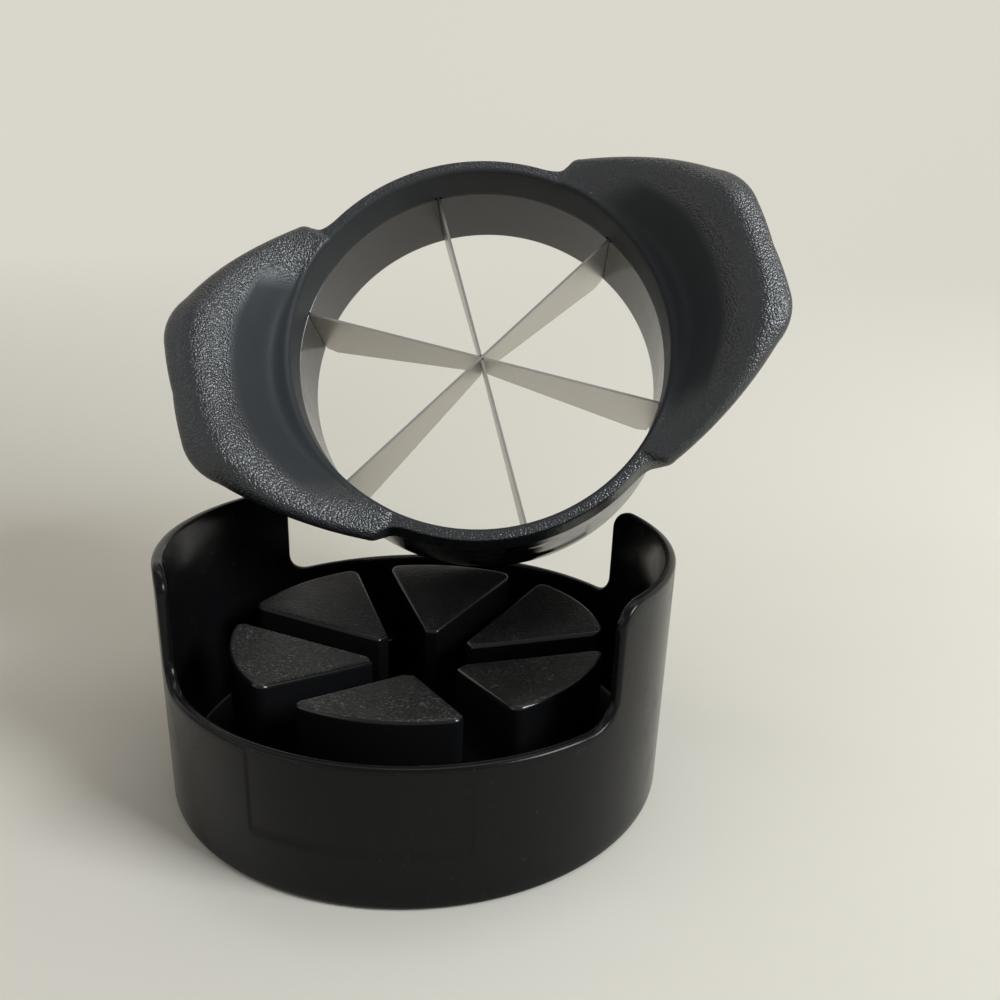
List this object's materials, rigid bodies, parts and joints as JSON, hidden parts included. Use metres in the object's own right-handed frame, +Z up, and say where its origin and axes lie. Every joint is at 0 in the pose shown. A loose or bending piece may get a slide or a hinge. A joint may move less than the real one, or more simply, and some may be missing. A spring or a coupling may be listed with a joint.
{
  "type": "tomato wedger",
  "caption": "Press tool that cuts a tomato into wedges: a blade ring with two wing grips leans on a round cup whose wedge posts push the fruit through the blades.",
  "frame": {"origin": "centre of the cup's flat underside, on the table plane", "axes": "+Z up along the cup axis, -Y towards the front notch and the viewer, +X to the viewer's right"},
  "size_m": [0.1584, 0.1565, 0.1481],
  "materials": {
    "cup_plastic": "satin charcoal",
    "post_plastic": "semi-gloss black with fine grain on the tops",
    "ring_plastic": "semi-gloss black",
    "grip_plastic": "pebble-grained charcoal",
    "blade_steel": "brushed stainless"
  },
  "bodies": {
    "base": {"base_cup": "cup_plastic", "wedge_post_1": "post_plastic", "wedge_post_2": "post_plastic", "wedge_post_3": "post_plastic", "wedge_post_4": "post_plastic", "wedge_post_5": "post_plastic", "wedge_post_6": "post_plastic"},
    "ring": {"blade_ring": "ring_plastic", "blade_1": "blade_steel", "blade_2": "blade_steel", "blade_3": "blade_steel", "handle_frame": "grip_plastic"}
  },
  "joints": [
    {"name": "ring_lift", "type": "slide", "parent": "base", "child": "ring", "axis": [0, 0, 1], "range_m": [0, 0.08]}
  ]
}
